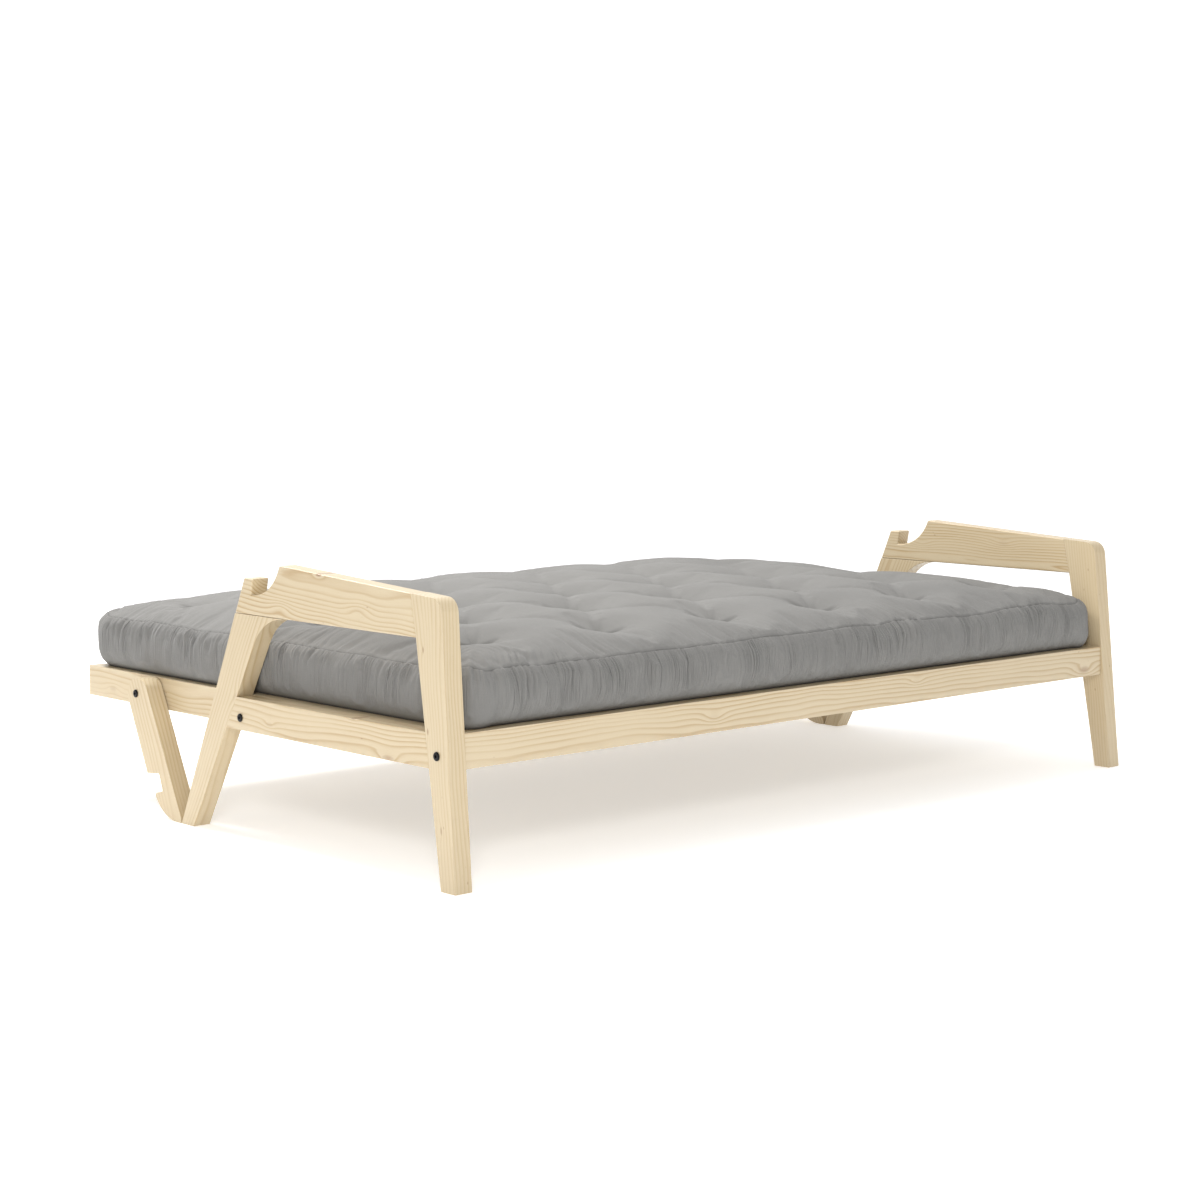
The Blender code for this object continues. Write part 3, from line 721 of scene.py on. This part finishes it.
def underside_faces(top, low_ring, points):
    """A flat panel with long narrow cells across the futon, joined to the boxing's lowest ring."""
    columns, rows = top.shape[:2]
    border = np.full((columns, rows), -1)
    set_rim(border, low_ring)
    picked = sorted({*range(0, rows, 8), rows - 1})
    inner = {}
    more = []
    base = len(points)
    for i in range(1, columns - 1):
        near, far = points[border[i, 0]], points[border[i, rows - 1]]
        for j in picked[1:-1]:
            t = j / (rows - 1)
            inner[i, j] = base + len(more)
            more.append(near * (1 - t) + far * t)
    faces = []
    for i in range(columns - 1):
        for low, high in zip(picked[:-1], picked[1:]):
            corner = []
            if i == 0:
                corner += [int(border[0, j]) for j in range(low, high + 1)]
            else:
                corner += [vertex_at(border, inner, i, low), vertex_at(border, inner, i, high)]
            if i == columns - 2:
                corner += [int(border[columns - 1, j]) for j in range(high, low - 1, -1)]
            else:
                corner += [vertex_at(border, inner, i + 1, high), vertex_at(border, inner, i + 1, low)]
            faces.append(tuple(corner))
    return np.array(more), faces


def vertex_at(border, inner, i, j):
    """The number of the underside's vertex at a place in the grid."""
    return inner[i, j] if (i, j) in inner else int(border[i, j])


def hold_places(obj, start, number, whole):
    """Pin the seam, the lowest two rings of the boxing and the tufts."""
    held = obj.vertex_groups.new(name="held")
    held.add(whole[:, :2].reshape(-1).tolist(), 1.0, "REPLACE")
    distance = np.full(len(start), np.inf)
    for tuft_x, tuft_y in tuft_places():
        distance = np.minimum(distance, np.hypot(start[:, 0] - tuft_x, start[:, 1] - tuft_y))
    on_top = np.arange(len(start)) < number.size
    near = np.nonzero((distance < GRID * 0.9) & on_top)[0]
    held.add(near.tolist(), 1.0, "REPLACE")
    held.add(whole[:, -1].tolist(), 1.0, "REPLACE")


def add_cloth(obj):
    """Cloth under pressure, held at the pinned places."""
    cloth = obj.modifiers.new("Cloth", "CLOTH")
    for setting, value in CLOTH_SETTINGS.items():
        setattr(cloth.settings, setting, value)
    cloth.settings.vertex_group_mass = "held"
    cloth.settings.effector_weights.gravity = 0
    cloth.point_cache.frame_start = 1
    cloth.point_cache.frame_end = CLOTH_FRAMES


def fill_with_cloth(top, boxing):
    """Inflate the cover with a cloth simulation: the pinned places stay put and the rest swells."""
    mesh, number, whole = shell_mesh("futon_cloth", top, boxing)
    obj = bpy.data.objects.new("futon_cloth", mesh)
    bpy.context.scene.collection.objects.link(obj)
    start = points_of(mesh)
    hold_places(obj, start, number, whole)
    add_cloth(obj)
    scene = bpy.context.scene
    for step in range(1, CLOTH_FRAMES + 1):
        scene.frame_set(step)
    settled = obj.evaluated_get(bpy.context.evaluated_depsgraph_get()).data
    move = points_of(settled) - start
    size = np.linalg.norm(move, axis=1, keepdims=True)
    move *= np.minimum(1.0, SWELL_LIMIT / np.maximum(size, 1e-9))
    end = start + move
    scene.frame_set(1)
    bpy.data.objects.remove(obj)
    return end[:number.size].reshape(top.shape), end[whole]


def between(values, closed):
    """Put a smooth in-between row after each row of an array."""
    if closed:
        before, after = np.roll(values, 1, 0), np.roll(values, -1, 0)
        following = np.roll(values, -2, 0)
        middles = (9 * (values + after) - before - following) / 16
        return np.stack([values, middles], 1).reshape(-1, *values.shape[1:])
    padded = np.concatenate([2 * values[:1] - values[1:2], values, 2 * values[-1:] - values[-2:-1]])
    middles = (9 * (padded[1:-2] + padded[2:-1]) - padded[:-3] - padded[3:]) / 16
    out = np.empty((2 * len(values) - 1, *values.shape[1:]))
    out[::2] = values
    out[1::2] = middles
    return out


def refine(top, boxing):
    """One subdivision of both grids, with a shared seam."""
    fine_top = between(np.swapaxes(between(top, False), 0, 1), False)
    fine_top = np.swapaxes(fine_top, 0, 1).copy()
    fine_boxing = between(boxing, True)
    fine_boxing = np.swapaxes(between(np.swapaxes(fine_boxing, 0, 1), False), 0, 1).copy()
    set_rim(fine_top, fine_boxing[:, -1])
    return fine_top, fine_boxing


def normals_of(mesh):
    """The directions that a mesh's vertices face, as rows of x, y and z."""
    out = np.empty(len(mesh.vertices) * 3)
    mesh.vertex_normals.foreach_get("vector", out)
    return out.reshape(-1, 3)


def gathers(along, seed):
    """Puckers side by side along a seam, rounded between sharp creases, from about 0 to 1."""
    along = along + 0.006 * noise(along / 0.09, 0.0, seed)
    wide = np.abs(noise(along / 0.0145, 1.0, seed + 1)) ** 0.75
    narrow = np.abs(noise(along / 0.0075, 2.0, seed + 2)) ** 0.75
    return 0.6 * wide + 0.4 * narrow


def bunches(along):
    """Puckers gather in loose clusters along the seam."""
    return 0.35 + 0.65 * smooth(-0.5, 0.5, noise(along / 0.11, 0.0, 5))


def pucker_boxing(along, down):
    """Puckers run down from the seam in loose clusters and open into wide soft folds."""
    s = along[:, None] + 0.004 * noise(along[:, None] / 0.12, down * 1.5, 11) * (1 - down)
    length = 0.45 + 0.55 * (0.5 + 0.5 * noise(along / 0.030, 3.0, 8))[:, None]
    fade = smooth(0.0, 1.0, (down - (1 - length)) / length)
    taper = 0.40 + 0.60 * smooth(0.0, 0.14, 1 - down)
    puckers = PUCKER_DEPTH * bunches(along)[:, None] * fade * taper * (gathers(s, 21) - PUCKER_MIDDLE)
    middle = smooth(0.0, 0.3, down) * smooth(0.0, 0.35, 1 - down)
    return puckers + SOFT_FOLD_DEPTH * middle * noise(s / 0.024, down * 0.4, 31)


def pucker_top(x, y, along):
    """The same puckers run in from the seam and die out; they are weaker at the ends and the corners."""
    inward = np.maximum(edge_distance(x, y), 0)
    nearest = nearest_along(x, y, along[-1])
    reach = 0.024 + 0.040 * (0.5 + 0.5 * noise(nearest / 0.035, 4.0, 9))
    strength = np.exp(-inward / reach) * bunches(nearest)
    strength = strength * (0.40 + 0.60 * smooth(0.0, 0.016, inward))
    at_end = smooth(0.0, 0.05, np.minimum(y - FUTON_FRONT, FUTON_REAR - y) - inward)
    strength = strength * (1 - 0.65 * at_end)
    corner = np.hypot(FUTON_HALF - np.abs(x), np.minimum(y - FUTON_FRONT, FUTON_REAR - y))
    strength = strength * (0.25 + 0.75 * smooth(0.04, 0.16, corner))
    drift = 0.012 * noise(nearest / 0.10, inward / 0.05, 13)
    strength[rim_mask(strength)] = 0
    return PUCKER_DEPTH * strength * (gathers(nearest + drift, 21) - PUCKER_MIDDLE)


def pinch_tufts(x, y):
    """Creases that run out from each tuft towards its neighbours and along the way the cloth lies."""
    height = np.zeros_like(x)
    places = tuft_places()
    pairs = neighbours(places)
    for (from_x, from_y), (to_x, to_y) in pairs + [pair[::-1] for pair in pairs]:
        towards = math.atan2(to_y - from_y, to_x - from_x)
        for part_turn in (-0.20, 0.16):
            heading = towards + part_turn
            lie = 0.25 + 0.75 * math.cos(heading - CLOTH_LIE) ** 2
            reach = 0.070 + 0.050 * math.sin(40 * from_x) ** 2
            height += crease(x, y, from_x, from_y, heading, reach, PINCH_DEPTH * lie)
    for index, (tuft_x, tuft_y) in enumerate(places):
        for turn in (0.0, 0.45, math.pi, math.pi + 0.45):
            heading = CLOTH_LIE + turn + 0.25 * math.sin(3.0 * index + turn)
            height += crease(x, y, tuft_x, tuft_y, heading, 0.055, SHORT_PINCH_DEPTH)
    return height


def dress(top, boxing):
    """Work the sewing into the filled cover: the seam's groove, the gathers beside it and the tufts."""
    mesh, number, whole = shell_mesh("futon", top, boxing, underside=True)
    points = points_of(mesh)
    normals = normals_of(mesh)
    ring = points[whole[:, -1]]
    steps = np.linalg.norm(np.roll(ring, -1, 0) - ring, axis=1)
    along = np.concatenate([[0.0], np.cumsum(steps)[:-1]])
    down = np.linspace(0, 1, whole.shape[1])[None, :]
    x, y = points[number][..., 0], points[number][..., 1]
    pinches = pinch_tufts(x, y)

    push = np.zeros(len(points))
    push[whole] += pucker_boxing(along, down)
    push[number] += pucker_top(x, y, along)
    push[number] += np.maximum(pinches, -DEEPEST_PINCH)
    push[whole[:, -1]] -= SEAM_GROOVE
    points += normals * push[:, None]
    press_ends(points)
    mesh.vertices.foreach_set("co", points.reshape(-1))
    mesh.update()

    above_foot = np.broadcast_to(smooth(0.05, 0.5, down[:, :-1]), whole[:, :-1].shape)
    add_mark(mesh, "seam", whole[:, -1], np.ones(len(along)))
    add_mark(mesh, "boxing", whole[:, :-1], above_foot)
    add_mark(mesh, "foot", whole, np.broadcast_to(1 - smooth(0.0, 0.07, down), whole.shape))
    add_mark(mesh, "crease", number, np.clip(-pinches / 0.012, 0, 1))
    add_cloth_map(mesh, number, whole, along)
    return mesh


def press_ends(points):
    """The futon's ends give way softly before the plane that the support legs swing in."""
    over = np.abs(points[:, 0]) - (END_LIMIT - END_GIVE)
    pressed = np.sign(points[:, 0]) * (END_LIMIT - END_GIVE * np.exp(-np.maximum(over, 0) / END_GIVE))
    points[:, 0] = np.where(over > 0, pressed, points[:, 0])


def add_mark(mesh, name, where, amount):
    """A number on each point that the cloth's material reads."""
    values = np.zeros(len(mesh.vertices))
    values[where] = amount
    mark = mesh.attributes.new(name, "FLOAT", "POINT")
    mark.data.foreach_set("value", values)


def crease(x, y, at_x, at_y, heading, reach, depth):
    """A fold that starts at a tuft and dies out along its length."""
    end_x, end_y = at_x + reach * math.cos(heading), at_y + reach * math.sin(heading)
    aside, part = beside(x, y, at_x, at_y, end_x, end_y)
    return -depth * (1 - part) ** 0.7 * np.exp(-(aside / CREASE_WIDTH) ** 2)


def nearest_along(x, y, seam_length):
    """The seam position abreast of each top point: along the nearest side, counterclockwise."""
    front = y - FUTON_FRONT
    rear = FUTON_REAR - y
    left = x + FUTON_HALF
    right = FUTON_HALF - x
    nearest = np.minimum(np.minimum(front, rear), np.minimum(left, right))
    width, depth = 2 * FUTON_HALF, FUTON_REAR - FUTON_FRONT
    result = np.where(nearest == front, left, 0.0)
    result = np.where(nearest == right, width + front, result)
    result = np.where(nearest == rear, width + depth + right, result)
    only_left = (nearest == left) & (nearest != front) & (nearest != rear)
    result = np.where(only_left, 2 * width + depth + rear, result)
    return result * seam_length / (2 * width + 2 * depth)


def add_cloth_map(mesh, number, whole, along):
    """A UV map in metres: flat on the top, and round the boxing, so that the weave follows the cloth."""
    flat = points_of(mesh)[:, :2]
    boxed = flat.copy()
    heights = np.linspace(0, BOXING_MAP_HEIGHT, whole.shape[1])
    boxed[whole] = np.stack(np.broadcast_arrays(along[:, None], heights[None, :]), -1)
    uv = mesh.uv_layers.new(name="cloth")
    loops = np.empty(len(mesh.loops), int)
    mesh.loops.foreach_get("vertex_index", loops)
    starts = np.empty(len(mesh.polygons), int)
    totals = np.empty(len(mesh.polygons), int)
    mesh.polygons.foreach_get("loop_start", starts)
    mesh.polygons.foreach_get("loop_total", totals)
    face_of_loop = np.repeat(np.arange(len(starts)), totals)
    top_faces = (number.shape[0] - 1) * (number.shape[1] - 1)
    box_faces = whole.shape[0] * (whole.shape[1] - 1)
    on_boxing = (face_of_loop >= top_faces) & (face_of_loop < top_faces + box_faces)
    coords = np.where(on_boxing[:, None], boxed[loops], flat[loops])
    last = on_boxing & (face_of_loop >= top_faces + box_faces - (whole.shape[1] - 1))
    wrapped = last & (coords[:, 0] < 0.5 * along[-1])
    coords[wrapped, 0] += along[-1] + along[1]
    uv.data.foreach_set("uv", coords.reshape(-1))


def thread_weave(g, cloth):
    """A wave across each thread; the two thread directions cross."""
    split = g.node("ShaderNodeSeparateXYZ")
    g.put(split.inputs[0], cloth)
    wander = g.math("MULTIPLY", g.noise(cloth, 60.0, 2.0), 0.9)
    warp = g.math("MULTIPLY", split.outputs[0], 2 * math.pi / WARP_SPACING)
    warp_thread = g.math("SINE", g.math("ADD", warp, wander))
    weft = g.math("MULTIPLY", split.outputs[1], 2 * math.pi / WEFT_SPACING)
    weft_thread = g.math("SINE", g.math("ADD", weft, wander))
    return g.math("MULTIPLY", warp_thread, weft_thread)


def mark_of(g, name):
    """A number that dress left on the cloth's points."""
    return g.node("ShaderNodeAttribute", attribute_name=name).outputs["Fac"]


def fine_puckers(g, cloth, boxing):
    """The small gathers of the boxing, in bunches."""
    pucker = g.noise(g.vector("MULTIPLY", cloth, (135, 4, 1)), 1.0, 1.0, 0.6)
    ridge = g.math("POWER", g.math("ABSOLUTE", g.math("SUBTRACT", pucker, 0.5)), 0.7)
    clusters = g.noise(g.vector("MULTIPLY", cloth, (16, 3, 1)), 1.0, 1.0)
    bunch = g.ramp(clusters, ((0.38, 0.25), (0.60, 1.0)))
    return g.math("MULTIPLY", g.math("MULTIPLY", ridge, boxing), bunch)


def cotton():
    """Grey cotton drill: a fine weave with slubs, soft tone changes and a little sheen."""
    g = Graph("grey_cotton_drill")
    cloth = g.node("ShaderNodeUVMap", uv_map="cloth").outputs[0]
    place = g.node("ShaderNodeTexCoord").outputs["Object"]
    weave = thread_weave(g, cloth)
    slub_across = g.noise(g.vector("MULTIPLY", cloth, (25, 900, 1)), 1.0, 2.0, 0.6)
    slub_down = g.noise(g.vector("MULTIPLY", cloth, (900, 25, 1)), 1.0, 2.0, 0.6)
    slub = g.math("ADD", slub_across, slub_down)
    base = g.mix(g.ramp(slub, ((0.40, 0.0), (1.0, 1.0))), COTTON_DARK, COTTON_LIGHT)
    tone = g.noise(place, 5.0, 3.0)
    base = g.mix(g.ramp(tone, ((0.35, 0.0), (0.70, 0.35))), base, COTTON_TONE)
    base = g.mix(g.ramp(weave, ((0.0, 0.10), (0.5, 0.0))), base, COTTON_GAP)

    # Shadow in the seam, in the creases at the tufts and where the futon meets the frame
    boxing = mark_of(g, "boxing")
    seam = g.math("MULTIPLY", g.math("POWER", mark_of(g, "seam"), 2.5), 0.46)
    fold = g.math("MULTIPLY", mark_of(g, "crease"), 0.34)
    foot = g.math("MULTIPLY", mark_of(g, "foot"), 0.9)
    shade = g.math("ADD", g.math("ADD", seam, fold), foot, clamp=True)
    g.put(g.shader.inputs["Base Color"], g.mix(shade, base, COTTON_SHADE))
    g.put(g.shader.inputs["Roughness"], g.ramp(slub, ((0.4, 0.86), (0.65, 0.96))))
    g.shader.inputs["Sheen Weight"].default_value = 0.08
    g.shader.inputs["Sheen Roughness"].default_value = 0.45
    g.shader.inputs["Specular IOR Level"].default_value = 0.25
    crumple = g.noise(g.vector("MULTIPLY", cloth, (70, 70, 1)), 1.0, 3.0, 0.6)
    soft = g.bump(crumple, 0.0006, 0.5)
    soft = g.bump(fine_puckers(g, cloth, boxing), 0.0110, 0.9, soft)
    slubs = g.bump(slub, 0.00015, 0.5, soft)
    g.put(g.shader.inputs["Normal"], g.bump(weave, 0.00010, 0.6, slubs))
    return g.material


def build_futon():
    """The futon in one piece, in place of the CAD mattress parts."""
    top = start_top()
    boxing = start_boxing(rim(top))
    top, boxing = fill_with_cloth(top, boxing)
    top, boxing = refine(*refine(top, boxing))
    mesh = dress(top, boxing)
    mesh.materials.append(cotton())
    for polygon in mesh.polygons:
        polygon.use_smooth = True
    futon = bpy.data.objects.new("futon", mesh)
    bpy.context.scene.collection.objects.link(futon)
    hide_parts("seat_mattress", "back_mattress", "mattress_fold")
    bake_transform(futon)


# ---------------------------------------------------------------- studio

def floor_profile():
    """Distance and height along the floor, the curve and the wall."""
    profile = [(FLOOR_NEAR, 0.0), (FLOOR_FAR, 0.0)]
    for step in range(1, WALL_STEPS + 1):
        angle = math.pi / 2 * step / WALL_STEPS
        distance = FLOOR_FAR + WALL_RADIUS * math.sin(angle)
        profile.append((distance, WALL_RADIUS - WALL_RADIUS * math.cos(angle)))
    profile.append((FLOOR_FAR + WALL_RADIUS, WALL_TOP))
    return profile


def studio_floor():
    """A pale floor that curves up into a wall behind the object, as the camera sees it."""
    g = Graph("studio_paper")
    grain = g.noise(g.node("ShaderNodeTexCoord").outputs["Object"], 3.0, 4.0)
    g.put(g.shader.inputs["Base Color"], g.ramp(grain, ((0.3, 0.93), (0.7, 0.95))))
    g.shader.inputs["Roughness"].default_value = 0.9
    g.shader.inputs["Emission Color"].default_value = (1.0, 1.0, 1.0, 1.0)
    g.shader.inputs["Emission Strength"].default_value = FLOOR_GLOW
    points = []
    for distance, height in floor_profile():
        points += [(distance, -FLOOR_HALF_WIDTH, height), (distance, FLOOR_HALF_WIDTH, height)]
    faces = [(i, i + 1, i + 3, i + 2) for i in range(0, len(points) - 2, 2)]
    mesh = bpy.data.meshes.new("studio_floor")
    mesh.from_pydata(points, [], faces)
    mesh.materials.append(g.material)
    for polygon in mesh.polygons:
        polygon.use_smooth = True
    floor = bpy.data.objects.new("studio_floor", mesh)
    floor.rotation_euler = (0, 0, math.radians(90 + CAMERA_HEADING_DEG))
    floor.location = (0, 0, -0.0005)
    bpy.context.scene.collection.objects.link(floor)


def studio():
    """The floor, a soft white sky and three soft lights."""
    studio_floor()
    world = bpy.data.worlds.new("studio_sky")
    world.use_nodes = True
    sky = world.node_tree.nodes["Background"]
    sky.inputs[0].default_value = (1.0, 1.0, 1.0, 1.0)
    sky.inputs[1].default_value = SKY_STRENGTH
    bpy.context.scene.world = world
    for name, place, target, size, power in LIGHTS:
        soft_light(name, place, target, size, power)


def soft_light(name, place, target, size, power):
    """A round area light that faces its target."""
    light = bpy.data.lights.new(name, "AREA")
    light.shape = "DISK"
    light.size = size
    light.energy = power
    light.color = LIGHT_COLOR
    lamp = bpy.data.objects.new(name, light)
    lamp.location = place
    lamp.rotation_euler = (Vector(target) - Vector(place)).to_track_quat("-Z", "Y").to_euler()
    bpy.context.scene.collection.objects.link(lamp)


def camera():
    """A level camera with its lens shifted down."""
    lens = bpy.data.cameras.new("camera")
    lens.lens = CAMERA_LENS
    lens.sensor_width = 36.0
    lens.shift_y = CAMERA_SHIFT_Y
    lens.clip_end = 200.0
    eye = bpy.data.objects.new("camera", lens)
    eye.location = CAMERA_PLACE
    eye.rotation_euler = (math.radians(90), 0, math.radians(CAMERA_HEADING_DEG))
    bpy.context.scene.collection.objects.link(eye)
    bpy.context.scene.camera = eye


camera()
studio()
finish_ends()
finish_rails()
finish_slats()
finish_metal()
build_futon()
bpy.context.scene.view_settings.view_transform = "Standard"
